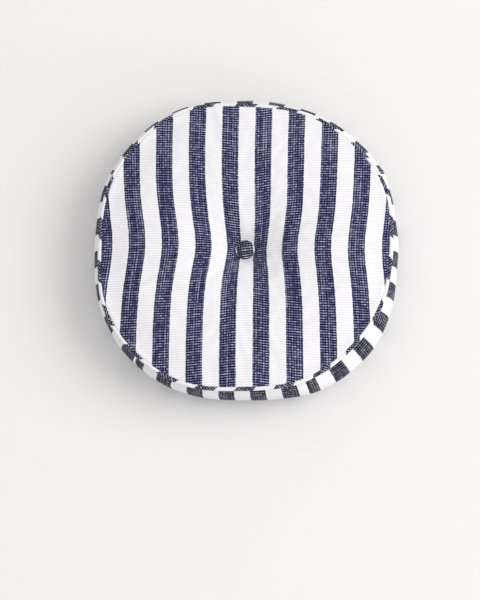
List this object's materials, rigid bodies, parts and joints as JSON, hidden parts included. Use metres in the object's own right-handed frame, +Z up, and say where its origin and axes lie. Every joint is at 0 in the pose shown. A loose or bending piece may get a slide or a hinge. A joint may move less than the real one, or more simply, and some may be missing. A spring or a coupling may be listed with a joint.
{
  "type": "seat cushion",
  "caption": "Round box seat cushion: striped woven cover, piped edges, covered buttons tufted through the middle, zip in the side band, foam and wadding filling.",
  "frame": {"origin": "centre of the plane the cushion rests on", "axes": "+Z up out of the front panel, along the button axis; +Y towards the middle of the zip"},
  "size_m": [0.4, 0.4, 0.0793],
  "materials": {
    "striped_cotton": "woven cotton ticking, navy and white stripes of equal width",
    "piping_cotton": "the same cloth cut on the bias, so the stripes slant round the piping",
    "button_cotton": "the navy stripe of the same cloth, stretched over a button",
    "cotton_cord": "twisted cotton cord and twine, natural",
    "foam": "open-cell upholstery foam, cream",
    "wadding": "polyester fibre wadding, white",
    "zip_tape": "woven polyester tape, off-white",
    "nylon_coil": "moulded nylon coil, off-white",
    "zip_metal": "nickel-plated zip metal",
    "button_metal": "plain pressed steel"
  },
  "bodies": {
    "cushion": {"front_panel": "striped_cotton", "back_panel": "striped_cotton", "front_piping_cover": "piping_cotton", "front_piping_cord": "cotton_cord", "back_piping_cover": "piping_cotton", "back_piping_cord": "cotton_cord", "boxing_left": "striped_cotton", "boxing_bottom": "striped_cotton", "boxing_right": "striped_cotton", "zip_strip_front": "striped_cotton", "zip_tape_front": "zip_tape", "zip_coil_front": "nylon_coil", "zip_strip_back": "striped_cotton", "zip_tape_back": "zip_tape", "zip_coil_back": "nylon_coil", "zip_top_stop_front": "zip_metal", "zip_top_stop_back": "zip_metal", "zip_bottom_stop": "zip_metal", "foam_core": "foam", "front_wadding": "wadding", "back_wadding": "wadding", "tufting_twine": "cotton_cord"},
    "slider": {"zip_slider": "zip_metal"},
    "pull": {"zip_pull": "zip_metal"},
    "front_button": {"front_button_cover": "button_cotton", "front_button_shell": "button_metal", "front_button_plate": "button_metal", "front_button_eye": "button_metal"},
    "back_button": {"back_button_cover": "button_cotton", "back_button_shell": "button_metal", "back_button_plate": "button_metal", "back_button_eye": "button_metal"}
  },
  "joints": [
    {"name": "zip_slide", "type": "hinge", "parent": "cushion", "child": "slider", "pos_m": [0, 0, 0.04], "axis": [0, 0, 1], "range_deg": [0, 111.8]},
    {"name": "pull_swing", "type": "hinge", "parent": "slider", "child": "pull", "pos_m": [0.16788, 0.11324, 0.04], "axis": [0, 0, -1], "range_deg": [0, 178]},
    {"name": "front_button_turn", "type": "hinge", "parent": "cushion", "child": "front_button", "pos_m": [0, 0, 0.053], "axis": [0, 0, 1], "range_deg": [-40, 40]},
    {"name": "back_button_turn", "type": "hinge", "parent": "cushion", "child": "back_button", "pos_m": [0, 0, 0.027], "axis": [0, 0, 1], "range_deg": [-40, 40]}
  ]
}
